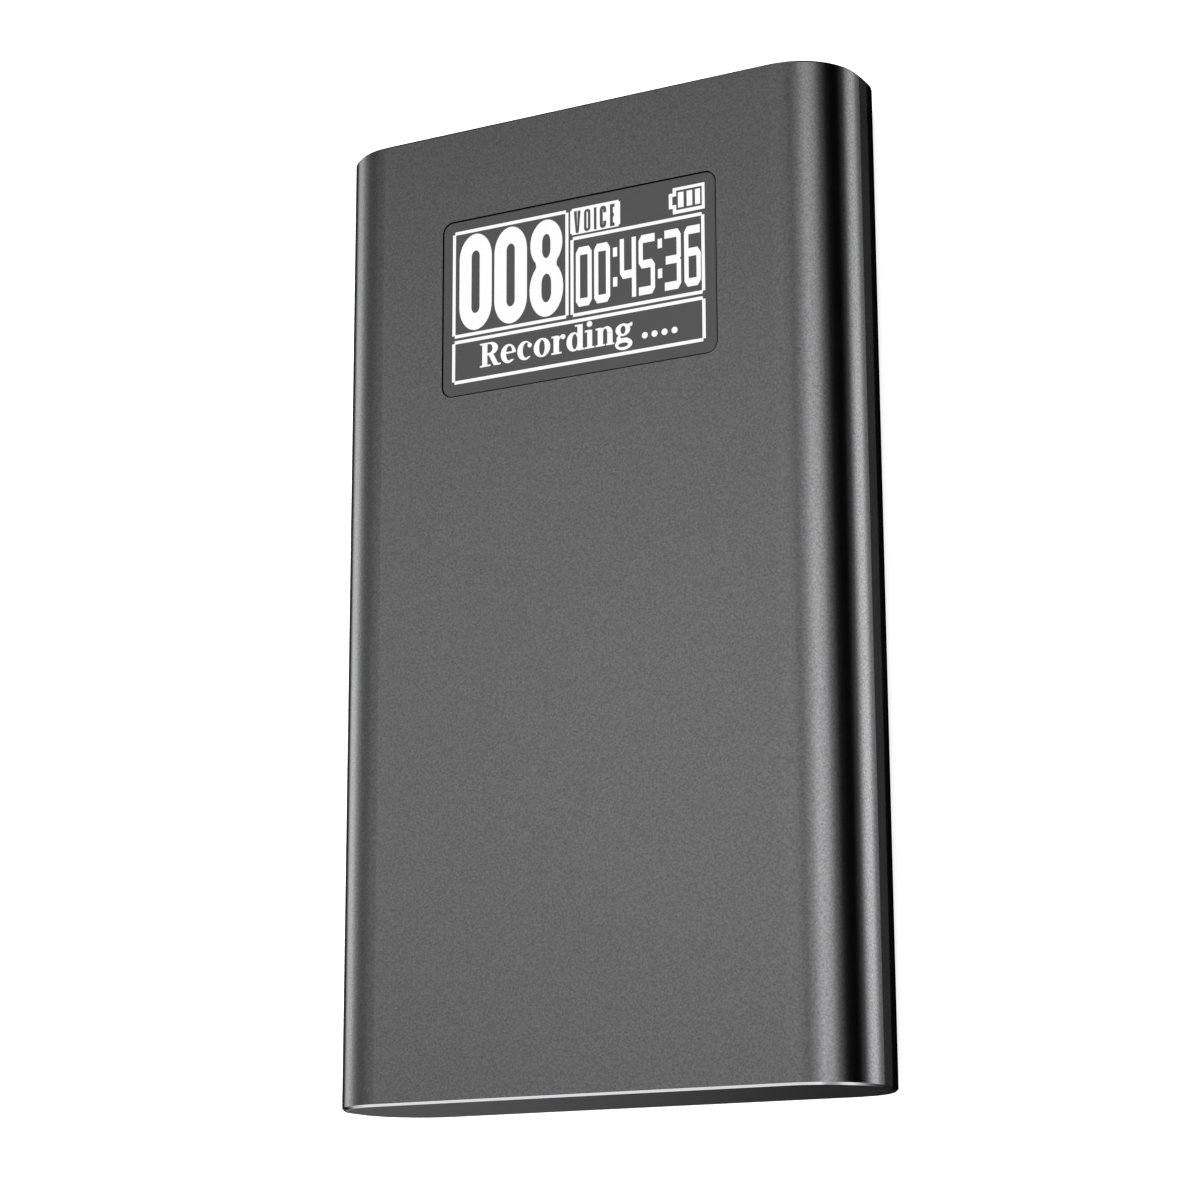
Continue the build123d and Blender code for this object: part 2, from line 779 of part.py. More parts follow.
# USB-C socket: a drawn shell closed at the back, a tongue, and twelve contacts on each of its faces
usb_mouth_y = half_length - usb_setback
usb_back_y = usb_mouth_y - usb_length
usb_inner_width = usb_width - 2 * usb_wall
usb_inner_height = usb_height - 2 * usb_wall
tab_length = 1.2
tab_reach = 0.4
tab_root = 1.2
tab_thickness = 0.25
tab_places = (usb_back_y + 1.0, usb_back_y + 4.0)
with BuildPart() as usb_shell:
    with BuildSketch(across(usb_back_y)):
        with Locations((usb_x, usb_z)):
            SlotOverall(usb_width, usb_height)
    extrude(amount=-usb_length)
    with BuildSketch(across(usb_back_y + usb_wall)):
        with Locations((usb_x, usb_z)):
            SlotOverall(usb_inner_width, usb_inner_height)
    extrude(amount=-usb_length, mode=Mode.SUBTRACT)
    # Solder tabs that stand on the board
    for side in (-1, 1):
        tab_root_x = usb_x + side * (usb_width / 2 - tab_root)
        tab_x = sorted((tab_root_x, usb_x + side * (usb_width / 2 + tab_reach)))
        for tab_y in tab_places:
            block((tab_x[0], tab_y, board_top), (tab_x[1], tab_y + tab_length, board_top + tab_thickness))
save(usb_shell.part, "usb_shell")

tongue_end_y = usb_mouth_y - tongue_setback
tongue_base_y = tongue_end_y - tongue_length
insert_back_y = usb_back_y + usb_wall + insert_play
with BuildPart() as usb_tongue:
    with BuildSketch(across(insert_back_y)):
        with Locations((usb_x, usb_z)):
            SlotOverall(usb_inner_width - 2 * insert_play, usb_inner_height - 2 * insert_play)
    extrude(amount=-(tongue_base_y - insert_back_y))
    block(
        (usb_x - tongue_width / 2, insert_back_y, usb_z - tongue_thickness / 2),
        (usb_x + tongue_width / 2, tongue_end_y, usb_z + tongue_thickness / 2),
    )
save(usb_tongue.part, "usb_tongue")

with BuildPart() as usb_contacts:
    for index in range(contact_count):
        contact_x = usb_x + (index - (contact_count - 1) / 2) * contact_pitch
        for face_z in (usb_z - tongue_thickness / 2 - contact_thickness, usb_z + tongue_thickness / 2):
            block(
                (contact_x - contact_width / 2, tongue_base_y, face_z),
                (contact_x + contact_width / 2, tongue_base_y + contact_length, face_z + contact_thickness),
            )
save(usb_contacts.part, "usb_contacts")

# Earphone jack: a block in the board's cut-out, with its nose in the top plate
with BuildPart() as earphone_jack:
    block(
        (jack_x - jack_width / 2, jack_back_y, mid_z - jack_height / 2),
        (jack_x + jack_width / 2, jack_front_y, mid_z + jack_height / 2),
    )
    rod(along_y(jack_x, jack_front_y, mid_z), jack_nose_radius, jack_mouth_y - jack_front_y)
    rod(
        along_y(jack_x, jack_mouth_y - jack_bore_length, mid_z),
        jack_bore_radius,
        jack_bore_length + 1,
        Mode.SUBTRACT,
    )
save(earphone_jack.part, "earphone_jack")

# Jack terminals: feet on the board, each soldered beside the jack's block
terminal_start_y = jack_back_y + 1.2
with BuildPart() as jack_terminals:
    for side in (-1, 1):
        wall_x = jack_x + side * jack_width / 2
        for index in range(2):
            terminal_y = terminal_start_y + index * terminal_pitch
            plate_x = sorted((wall_x, wall_x + side * terminal_thickness))
            foot_x = sorted((wall_x, wall_x + side * 1.0))
            block(
                (plate_x[0], terminal_y, board_top),
                (plate_x[1], terminal_y + terminal_width, mid_z + 0.6),
            )
            block(
                (foot_x[0], terminal_y, board_top),
                (foot_x[1], terminal_y + terminal_width, board_top + terminal_thickness),
            )
save(jack_terminals.part, "jack_terminals")

# Microphone: capsule in a rubber boot behind the top plate, mesh in the plate, leads to the board
boot_front_y = plate_inner_y - 0.02
boot_back_y = boot_front_y - mic_boot_length
capsule_front_y = boot_front_y - mic_boot_front
capsule_back_y = capsule_front_y - mic_length
with BuildPart() as mic_boot:
    rod(along_y(mic_x, boot_back_y, mid_z), mic_boot_radius, mic_boot_length)
    rod(
        along_y(mic_x, boot_back_y - 1, mid_z),
        mic_radius + mic_play,
        capsule_front_y - boot_back_y + 1,
        Mode.SUBTRACT,
    )
    rod(along_y(mic_x, boot_back_y, mid_z), mic_hole_radius * 1.4, mic_boot_length + 1, Mode.SUBTRACT)
save(mic_boot.part, "mic_boot")

with BuildPart() as mic_capsule:
    rod(along_y(mic_x, capsule_back_y, mid_z), mic_radius, mic_length)
    fillet(mic_capsule.faces().sort_by(Axis.Y)[-1].edges(), 0.2)
    rod(along_y(mic_x, capsule_front_y - 0.3, mid_z), mic_hole_radius, 1, Mode.SUBTRACT)
save(mic_capsule.part, "mic_capsule")

with BuildPart() as mic_mesh:
    rod(along_y(mic_x, plate_inner_y, mid_z), mesh_radius, mesh_thickness)
save(mic_mesh.part, "mic_mesh")

lead_half = 0.15
lead_spread = 0.6
with BuildPart() as mic_leads:
    for side in (-1, 1):
        lead_x = mic_x + side * lead_spread
        block(
            (lead_x - lead_half, boot_back_y - 1.5, board_top),
            (lead_x + lead_half, capsule_back_y, board_top + 2 * lead_half),
        )
save(mic_leads.part, "mic_leads")

# Status lamp: a side-firing lamp on the board and a clear pipe in the top plate
pipe_back_y = plate_inner_y - 0.02 - lamp_flange_length
led_front_y = pipe_back_y - 0.1
with BuildPart() as status_led:
    block(
        (lamp_x - led_size[0] / 2, led_front_y - led_size[1], board_top),
        (lamp_x + led_size[0] / 2, led_front_y, board_top + led_size[2]),
    )
save(status_led.part, "status_led")

with BuildPart() as light_pipe:
    rod(along_y(lamp_x, pipe_back_y, mid_z), lamp_flange_radius, lamp_flange_length)
    rod(along_y(lamp_x, pipe_back_y, mid_z), lamp_radius, half_length - 0.05 - pipe_back_y)
    fillet(light_pipe.faces().sort_by(Axis.Y)[-1].edges(), 0.15)
save(light_pipe.part, "light_pipe")

# Battery: a pouch with a thin sealed ledge that carries its guard circuit
terrace_end_y = cell_top_y + terrace_length
terrace_z = board_bottom
with BuildPart() as battery_cell:
    block((-cell_width / 2, cell_bottom_y, cell_bottom_z), (cell_width / 2, cell_top_y, cell_top_z))
    fillet(battery_cell.edges().filter_by(Axis.Y), cell_round)
    block(
        (-cell_width / 2 + terrace_inset, cell_top_y - cell_round, terrace_z),
        (cell_width / 2 - terrace_inset, terrace_end_y, terrace_z + terrace_thickness),
    )
save(battery_cell.part, "battery_cell")

with BuildPart() as battery_pad:
    block(
        (-cell_width / 2 + pad_margin, cell_bottom_y + pad_margin, floor_top),
        (cell_width / 2 - pad_margin, cell_top_y - pad_margin, cell_bottom_z),
    )
save(battery_pad.part, "battery_pad")

guard_bottom_z = terrace_z + terrace_thickness
guard_top_z = guard_bottom_z + guard_thickness
guard_start_y = cell_top_y + 0.15
with BuildPart() as protection_board:
    block(
        (-guard_width / 2, guard_start_y, guard_bottom_z),
        (guard_width / 2, guard_start_y + guard_depth, guard_top_z),
    )
save(protection_board.part, "protection_board")

with BuildPart() as battery_tape:
    block(
        (-guard_width / 2 - 0.5, guard_start_y, guard_top_z),
        (guard_width / 2 + 0.5, guard_start_y + tape_depth, guard_top_z + tape_thickness),
    )
save(battery_tape.part, "battery_tape")

# Battery plug in its socket on the board
plug_y = board_bottom_y + plug_inset
plug_bottom_z = board_top + plug_lift
with BuildPart() as battery_plug:
    with Locations((plug_x, plug_y, plug_bottom_z)):
        Box(*plug_size, align=(Align.CENTER, Align.MIN, Align.MIN))
save(battery_plug.part, "battery_plug")

socket_start_y = plug_y + plug_reach
cavity_half = plug_size[0] / 2 + plug_play
with BuildPart() as battery_socket:
    block(
        (plug_x - cavity_half - socket_wall, socket_start_y, board_top),
        (plug_x + cavity_half + socket_wall, socket_start_y + socket_length, board_top + socket_height),
    )
    block(
        (plug_x - cavity_half, plug_y, plug_bottom_z - plug_play),
        (
            plug_x + cavity_half,
            plug_y + plug_size[1] + plug_play,
            plug_bottom_z + plug_size[2] + plug_play,
        ),
        Mode.SUBTRACT,
    )
save(battery_socket.part, "battery_socket")

# Battery wires: each leaves the guard circuit, turns along the gap, and turns again into the plug
wire_start_y = guard_start_y + tape_depth + wire_gap
wire_run_y = board_bottom_y + wire_run_inset
wire_z = guard_top_z + wire_gap + wire_radius
bend_share = 0.45
wire_routes = {
    "red_wire": (wire_start_x, wire_run_y, plug_x + wire_spacing / 2),
    "black_wire": (wire_start_x - wire_spacing, wire_run_y + wire_spacing, plug_x - wire_spacing / 2),
}
for name, (start_x, run_y, end_x) in wire_routes.items():
    first_radius = bend_share * (run_y - wire_start_y)
    last_radius = bend_share * (plug_y - run_y)
    with BuildPart() as wire:
        with BuildLine() as route:
            FilletPolyline(
                (start_x, wire_start_y, wire_z),
                (start_x, run_y, wire_z),
                (end_x, run_y, wire_z),
                (end_x, plug_y, wire_z),
                radius=[first_radius, last_radius],
            )
        with BuildSketch(Plane(origin=route.line @ 0, z_dir=route.line % 0)):
            Circle(wire_radius)
        sweep(path=route.line)
    save(wire.part, name)
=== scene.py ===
# %% [markdown]
# # A handheld voice recorder
# The recorder is a flattened aluminium tube with a window let into its front, and it lies on its back.
# The CAD frame already holds every part at its real size. This lesson gives each part its finish,
# draws the lit signs of the display, and sets up a small studio. All lengths are in metres, so the
# helper `mm` turns a maker's millimetres into metres.

# %% Load the frame
import math

import bmesh
import bpy
from mathutils import Matrix, Vector


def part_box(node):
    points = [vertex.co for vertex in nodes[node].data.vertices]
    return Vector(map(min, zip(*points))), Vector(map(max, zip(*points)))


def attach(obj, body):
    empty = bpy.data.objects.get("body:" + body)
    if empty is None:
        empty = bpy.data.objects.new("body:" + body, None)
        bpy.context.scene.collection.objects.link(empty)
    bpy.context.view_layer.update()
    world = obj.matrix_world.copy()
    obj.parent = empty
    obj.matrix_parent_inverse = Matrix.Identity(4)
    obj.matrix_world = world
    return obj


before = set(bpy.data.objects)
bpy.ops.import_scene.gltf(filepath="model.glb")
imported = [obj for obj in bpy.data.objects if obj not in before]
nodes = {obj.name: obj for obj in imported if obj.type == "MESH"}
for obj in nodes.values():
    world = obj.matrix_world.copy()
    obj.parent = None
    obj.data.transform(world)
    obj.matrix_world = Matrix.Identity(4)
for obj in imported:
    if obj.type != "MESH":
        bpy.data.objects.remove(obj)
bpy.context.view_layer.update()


def mm(value):
    """Millimetres to metres."""
    return value / 1000.0


# %% [markdown]
# ## Measures that everything else hangs on
# Nothing is placed by eye. The window's box says where the signs go, and the shell's box says how long and
# how thick the tube is.

# %% Measure the main parts
shell_low, shell_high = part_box("shell")
window_low, window_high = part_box("display_window")
window_center = (window_low + window_high) / 2
body_center = (shell_low + shell_high) / 2
print("tube (mm):", [round(v * 1000, 2) for v in shell_high - shell_low])
print("window (mm):", [round(v * 1000, 2) for v in window_high - window_low])

# %% [markdown]
# ## Small tools
# Colours are written as the hex values that a paint or screen designer would read off, and turned to
# linear light once, here. One function adds a shader node with its settings and its links, so that each
# material below reads as a short list of what it is made of.


# %% Colour and node helpers
def linear(hex_colour):
    """An sRGB hex colour as linear RGBA."""
    parts = [int(hex_colour[i : i + 2], 16) / 255 for i in (1, 3, 5)]
    rgb = [p / 12.92 if p <= 0.04045 else ((p + 0.055) / 1.055) ** 2.4 for p in parts]
    return (*rgb, 1.0)


def add_node(tree, kind, settings=None, links=None):
    """Adds a node, sets its sockets or properties by name or number, and links outputs to its inputs."""
    node = tree.nodes.new(kind)
    for key, value in (settings or {}).items():
        if isinstance(key, int) or key in node.inputs:
            node.inputs[key].default_value = value
        else:
            setattr(node, key, value)
    for key, socket in (links or {}).items():
        tree.links.new(socket, node.inputs[key])
    return node


def start_material(name):
    """A new node material: returns it, its tree, and the object-space position of each point."""
    material = bpy.data.materials.new(name)
    material.use_nodes = True
    material.node_tree.nodes.clear()
    tree = material.node_tree
    place = add_node(tree, "ShaderNodeTexCoord").outputs["Object"]
    return material, tree, place


def finish_material(tree, settings, links):
    """Ends a material with one Principled shader."""
    shader = add_node(tree, "ShaderNodeBsdfPrincipled", settings, links)
    add_node(tree, "ShaderNodeOutputMaterial", None, {"Surface": shader.outputs["BSDF"]})
    return shader


def grain(tree, place, size, detail=2.0):
    """A noise pattern whose lumps are about `size` across, from 0 to 1."""
    return add_node(
        tree, "ShaderNodeTexNoise", {"Scale": 1.0 / size, "Detail": detail}, {"Vector": place}
    ).outputs["Fac"]


def spread(tree, value, low, high):
    """Turns a 0 to 1 pattern into a range of values."""
    return add_node(
        tree, "ShaderNodeMapRange", {"From Min": 0.25, "From Max": 0.75, "To Min": low, "To Max": high},
        {"Value": value},
    ).outputs["Result"]


def blend_colours(tree, amount, first, second):
    """Mixes two hex colours by a pattern."""
    mix = add_node(tree, "ShaderNodeMix", {"data_type": "RGBA"}, {0: amount})
    mix.inputs[6].default_value = linear(first)
    mix.inputs[7].default_value = linear(second)
    return mix.outputs[2]


def relief(tree, height, depth, strength=1.0):
    """A bump from a height pattern, with its real depth."""
    return add_node(
        tree, "ShaderNodeBump", {"Strength": strength, "Distance": depth}, {"Height": height}
    ).outputs["Normal"]


print("helpers ready")

# %% [markdown]
# ## Anodised aluminium
# The tube is extruded aluminium, bead-blasted and then anodised dark grey. Blasting leaves craters about
# a fifth of a millimetre across, which break the reflections into a fine sparkle but keep them clear
# enough to show the studio's light strips as soft bands. After anodising, the ends are cut on a diamond
# tool, so the narrow chamfer around each end is bright bare metal. The chamfer is found by its slope:
# its normal leans 45 degrees towards the tube's own direction, Y.


# %% Anodised aluminium
chamfer_colour = "#d6d7da"
chamfer_roughness = 0.16
chamfer_slope = math.sqrt(0.5)
chamfer_slope_play = 0.12


def anodised_aluminium(name, dark, light, roughness, bright_chamfer):
    material, tree, place = start_material(name)
    craters = grain(tree, place, mm(0.16), 3.0)
    clouds = grain(tree, place, mm(3.0))
    colour = blend_colours(tree, spread(tree, craters, 0.0, 1.0), dark, light)
    sheen = spread(tree, clouds, roughness - 0.01, roughness + 0.01)
    if bright_chamfer:
        normal = add_node(tree, "ShaderNodeNewGeometry").outputs["True Normal"]
        along = add_node(tree, "ShaderNodeSeparateXYZ", None, {0: normal}).outputs["Y"]
        slope = add_node(tree, "ShaderNodeMath", {"operation": "ABSOLUTE"}, {0: along}).outputs[0]
        cut = add_node(
            tree,
            "ShaderNodeMath",
            {"operation": "COMPARE", 1: chamfer_slope, 2: chamfer_slope_play},
            {0: slope},
        ).outputs[0]
        bare = add_node(tree, "ShaderNodeMix", {"data_type": "RGBA"}, {0: cut, 6: colour})
        bare.inputs[7].default_value = linear(chamfer_colour)
        colour = bare.outputs[2]
        sheen = add_node(
            tree, "ShaderNodeMix", {"data_type": "FLOAT", 3: chamfer_roughness}, {0: cut, 2: sheen}
        ).outputs[0]
    finish_material(
        tree,
        {"Metallic": 1.0},
        {
            "Base Color": colour,
            "Roughness": sheen,
            "Normal": relief(tree, craters, mm(0.004), 0.35),
        },
    )
    return material


tube_metal = anodised_aluminium("anodised_aluminium_tube", "#5a5a5b", "#787879", 0.17, True)
plate_metal = anodised_aluminium("anodised_aluminium_plate", "#5a5a5b", "#6e6e6f", 0.30, False)
key_metal = anodised_aluminium("anodised_aluminium_key", "#545456", "#69696b", 0.27, False)
print("aluminium:", tube_metal.name, plate_metal.name, key_metal.name)

# %% [markdown]
# ## The smoked window
# The window is a sheet of smoked acrylic, hard-coated and satin. Lit signs show through it as if they
# lay on its face, and where nothing is lit it is nearly the grey of the metal around it.


# %% Smoked acrylic
def smoked_acrylic(name):
    material, tree, place = start_material(name)
    clouds = grain(tree, place, mm(2.0))
    finish_material(
        tree,
        {"IOR": 1.49, "Coat Weight": 0.2, "Coat Roughness": 0.25},
        {
            "Base Color": blend_colours(tree, clouds, "#323233", "#363637"),
            "Roughness": spread(tree, clouds, 0.36, 0.42),
        },
    )
    return material


def lit_sign(name):
    """Light from the display's dots: plain white emission, a little uneven from dot to dot."""
    material, tree, place = start_material(name)
    dots = grain(tree, place, mm(0.2))
    level = spread(tree, dots, 0.92, 0.98)
    finish_material(
        tree,
        {"Base Color": linear("#1a1a1b"), "Emission Color": linear("#ffffff"), "Roughness": 0.4},
        {"Emission Strength": level},
    )
    return material


window_acrylic = smoked_acrylic("smoked_acrylic")
sign_light = lit_sign("lit_display_dots")
print("window:", window_acrylic.name, sign_light.name)

# %% [markdown]
# ## Plastics, board and plated parts
# Most of the inside is moulded, plated or laminated. A moulded plastic has a fine spark-eroded texture,
# a plated part is smooth with a few scratches, and a circuit board is a green lacquer over copper lines.


# %% Materials for the inner parts
def moulded_plastic(name, dark, light, roughness=0.45, texture=0.12):
    material, tree, place = start_material(name)
    bumps = grain(tree, place, mm(texture), 3.0)
    finish_material(
        tree,
        {"IOR": 1.5},
        {
            "Base Color": blend_colours(tree, bumps, dark, light),
            "Roughness": spread(tree, bumps, roughness - 0.05, roughness + 0.05),
            "Normal": relief(tree, bumps, mm(0.01), 0.4),
        },
    )
    return material


def plated_metal(name, dark, light, roughness):
    material, tree, place = start_material(name)
    long_place = add_node(tree, "ShaderNodeMapping", {"Scale": (1.0, 12.0, 12.0)}, {"Vector": place})
    scratches = grain(tree, long_place.outputs["Vector"], mm(0.8), 4.0)
    finish_material(
        tree,
        {"Metallic": 1.0},
        {
            "Base Color": blend_colours(tree, scratches, dark, light),
            "Roughness": spread(tree, scratches, roughness - 0.06, roughness + 0.06),
            "Normal": relief(tree, scratches, mm(0.002), 0.3),
        },
    )
    return material


def printed_board(name, mask_dark, mask_light):
    """Solder mask: copper lines under the lacquer show as slightly raised, lighter bands."""
    material, tree, place = start_material(name)
    lines = add_node(
        tree,
        "ShaderNodeTexBrick",
        {"Scale": 1.0 / mm(2.4), "Mortar Size": 0.035, "Color1": (0, 0, 0, 1), "Color2": (0, 0, 0, 1)},
        {"Vector": place},
    )
    lines.inputs["Mortar"].default_value = (1, 1, 1, 1)
    finish_material(
        tree,
        {"IOR": 1.52, "Roughness": 0.28},
        {
            "Base Color": blend_colours(tree, lines.outputs["Color"], mask_dark, mask_light),
            "Normal": relief(tree, lines.outputs["Color"], mm(0.03), 0.5),
        },
    )
    return material


def thin_film(name, dark, light, roughness):
    """A tape, a flexible tail or a foil pouch: smooth, with shallow creases."""
    material, tree, place = start_material(name)
    creases = grain(tree, place, mm(1.5), 3.0)
    finish_material(
        tree,
        {"IOR": 1.6, "Metallic": 1.0 if "foil" in name else 0.0},
        {
            "Base Color": blend_colours(tree, creases, dark, light),
            "Roughness": spread(tree, creases, roughness - 0.05, roughness + 0.08),
            "Normal": relief(tree, creases, mm(0.05), 0.25),
        },
    )
    return material


black_plastic = moulded_plastic("black_pc_abs", "#131314", "#1c1c1d")
black_nylon = moulded_plastic("black_nylon", "#0e0e0f", "#181819", 0.38, 0.08)
white_nylon = moulded_plastic("white_nylon", "#cfccc0", "#dedbd0", 0.4)
epoxy = moulded_plastic("moulded_epoxy", "#161617", "#202022", 0.5, 0.06)
ceramic = moulded_plastic("fired_ceramic", "#8a7357", "#a08b6c", 0.5, 0.05)
rubber = moulded_plastic("silicone_rubber", "#101011", "#19191a", 0.7, 0.1)
foam = moulded_plastic("foam_tape", "#0c0c0d", "#222223", 0.85, 0.25)
mesh_cloth = moulded_plastic("acoustic_mesh", "#070708", "#1e1e20", 0.8, 0.05)
lamp_plastic = moulded_plastic("clear_lamp_plastic", "#d5dad8", "#e8ecea", 0.2)
red_insulation = moulded_plastic("red_pvc", "#8f1414", "#a81c1c", 0.35)
black_insulation = moulded_plastic("black_pvc", "#101010", "#1b1b1b", 0.35)
tin_plate = plated_metal("tin_plate", "#b9b7b0", "#d6d4cd", 0.25)
nickel_shell = plated_metal("nickel_plated_steel", "#a5a39c", "#c9c7c0", 0.22)
gold_flash = plated_metal("gold_flash", "#d9ab4e", "#efc978", 0.2)
black_oxide = plated_metal("black_oxide_steel", "#2b2b2d", "#414144", 0.35)
board_green = printed_board("solder_mask_green", "#0d3a24", "#1d5a3a")
flex_amber = thin_film("polyimide_film", "#9a5a14", "#b87224", 0.25)
amber_tape = thin_film("polyimide_tape", "#a8680f", "#c98a22", 0.22)
pouch_foil = thin_film("laminated_foil", "#b4b5b8", "#cfd0d3", 0.3)
panel_glass = thin_film("display_glass", "#060608", "#0b0b0e", 0.12)
adhesive = thin_film("adhesive_film", "#0a0a0a", "#101010", 0.4)
print("inner materials:", len(bpy.data.materials))

# %% [markdown]
# ## Give each part its finish
# A part takes the finish of its real counterpart. The list goes by material, as a buyer's list does.

# %% Finish list
finishes = {
    tube_metal: ["shell"],
    plate_metal: ["top_plate", "bottom_plate"],
    key_metal: ["rec_knob", "play_button", "previous_button", "next_button", "menu_button"],
    window_acrylic: ["display_window"],
    adhesive: ["window_adhesive"],
    panel_glass: ["oled_panel"],
    epoxy: [
        "display_driver", "processor", "memory_chip", "audio_chip", "charger_chip", "inductor", "resistors",
    ],
    flex_amber: ["oled_flex"],
    black_plastic: ["display_holder", "chassis", "play_stem", "previous_stem", "next_stem", "menu_stem"],
    black_nylon: ["slide_switch_lever", "usb_tongue", "earphone_jack"],
    white_nylon: ["battery_plug", "battery_socket"],
    foam: ["display_foam", "battery_pad"],
    board_green: ["main_board", "protection_board"],
    tin_plate: ["crystal", "mic_leads", "mic_capsule"],
    nickel_shell: ["usb_shell", "slide_switch_body", "tact_switches", "switch_springs"],
    gold_flash: ["usb_contacts", "jack_terminals"],
    black_oxide: ["end_screws", "board_screws"],
    ceramic: ["capacitors"],
    rubber: ["mic_boot"],
    mesh_cloth: ["mic_mesh"],
    lamp_plastic: ["status_led", "light_pipe"],
    pouch_foil: ["battery_cell"],
    amber_tape: ["battery_tape"],
    red_insulation: ["red_wire"],
    black_insulation: ["black_wire"],
}
for material, names in finishes.items():
    for name in names:
        nodes[name].data.materials.clear()
        nodes[name].data.materials.append(material)
listed = sorted(name for names in finishes.values() for name in names)
print("finished:", len(listed), "of", len(nodes), "missing:", sorted(set(nodes) - set(listed)))

# %% [markdown]
# ## Drawing on the display
# The display shows a take number, a running time, a battery sign and a status line. Each sign is an
# outline with holes. Blender fills a flat curve and leaves its inner outlines open, as a sign painter's
# stencil does, so every sign is a flat curve that is given a hair of thickness and then made a mesh.
# The signs' places are written from the middle of the window, in millimetres.

# %% Outlines
arc_steps = 12


def rectangle(left, bottom, right, top):
    return [(left, bottom), (right, bottom), (right, top), (left, top)]


def stepped_corners(left, bottom, right, top, step):
    """A rectangle with a small square taken out of each corner, as a coarse display draws it."""
    return [
        (left + step, bottom), (right - step, bottom), (right - step, bottom + step),
        (right, bottom + step), (right, top - step), (right - step, top - step),
        (right - step, top), (left + step, top), (left + step, top - step),
        (left, top - step), (left, bottom + step), (left + step, bottom + step),
    ]


def arc(center, radii, start, end, steps=arc_steps):
    """Points along part of an ellipse, from one angle to another in degrees."""
    points = []
    for index in range(steps + 1):
        angle = math.radians(start + (end - start) * index / steps)
        points.append((center[0] + radii[0] * math.cos(angle), center[1] + radii[1] * math.sin(angle)))
    return points


def oval(left, bottom, right, top, end):
    """Straight sides with a half ellipse of height `end` at the top and at the bottom."""
    middle = (left + right) / 2
    half = (right - left) / 2
    upper = arc((middle, top - end), (half, end), 0, 180, 2 * arc_steps)
    lower = arc((middle, bottom + end), (half, end), 180, 360, 2 * arc_steps)
    return upper + lower


print("outline tools ready")

# %% Turn outlines into thin solids
sign_thickness = mm(0.02)
sign_plane = window_high.z + sign_thickness / 2
glow = 0.022
sharpest_corner = 0.4


def grow(outline, amount):
    """Moves an outline's edges outwards by the amount, or inwards if it is negative."""
    points = [Vector(point) for point in outline]
    count = len(points)
    area = sum(points[i - 1].cross(points[i]) for i in range(count))
    side = amount if area > 0 else -amount
    moved = []
    for i in range(count):
        before = (points[i] - points[i - 1]).normalized()
        after = (points[(i + 1) % count] - points[i]).normalized()
        lean = Vector((before.y + after.y, -before.x - after.x))
        moved.append(points[i] + lean * side / max(1 + before.dot(after), sharpest_corner))
    return moved


def sign_mesh(name, outlines):
    """Fills the outlines, gives them a hair of thickness, and returns a mesh in its place.

    The first outline is the lit shape and the others are its holes. Lit dots glow over their edges, so
    the shape is drawn a little smaller and its holes a little larger.
    """
    drawn = [grow(outline, -glow if index == 0 else glow) for index, outline in enumerate(outlines)]
    curve = bpy.data.curves.new(name, "CURVE")
    curve.dimensions = "2D"
    curve.fill_mode = "BOTH"
    curve.extrude = sign_thickness / 2
    for outline in drawn:
        spline = curve.splines.new("POLY")
        spline.points.add(len(outline) - 1)
        for point, (x, y) in zip(spline.points, outline):
            point.co = (mm(x), mm(y), 0.0, 1.0)
        spline.use_cyclic_u = True
    holder = bpy.data.objects.new(name, curve)
    bpy.context.scene.collection.objects.link(holder)
    depsgraph = bpy.context.evaluated_depsgraph_get()
    mesh = bpy.data.meshes.new_from_object(holder.evaluated_get(depsgraph))
    bpy.data.objects.remove(holder)
    mesh.transform(Matrix.Translation((window_center.x, window_center.y, sign_plane)))
    return mesh


def join_meshes(name, meshes, material):
    """Joins finished meshes into one piece whose object sits at the origin."""
    work = bmesh.new()
    for mesh in meshes:
        work.from_mesh(mesh)
        bpy.data.meshes.remove(mesh)
    bmesh.ops.remove_doubles(work, verts=work.verts, dist=mm(0.0005))
    bmesh.ops.recalc_face_normals(work, faces=work.faces)
    joined = bpy.data.meshes.new(name)
    work.to_mesh(joined)
    work.free()
    joined.materials.append(material)
    piece = bpy.data.objects.new(name, joined)
    bpy.context.scene.collection.objects.link(piece)
    return piece


signs = []
print("signs lie at z (mm):", round(sign_plane * 1000, 3))

# %% [markdown]
# ## Frames, battery and tag
# Three thin frames divide the display: the take number at the left, the time at the right, and the
# status line below. Their corners are stepped, which is how a coarse dot display rounds a corner. The
# tag is a lit block with its letters left dark, and the battery sign is a frame with three bars.

# %% Frames
number_frame = (-11.25, -2.53, -0.67, 6.43)
time_frame = (-0.53, -2.53, 11.21, 4.08)
status_frame = (-11.25, -6.35, 11.21, -2.71)
frame_line = 0.31
frame_step = 0.22
for left, bottom, right, top in (number_frame, time_frame, status_frame):
    inner = rectangle(left + frame_line, bottom + frame_line, right - frame_line, top - frame_line)
    signs.append(sign_mesh("frame", [stepped_corners(left, bottom, right, top, frame_step), inner]))

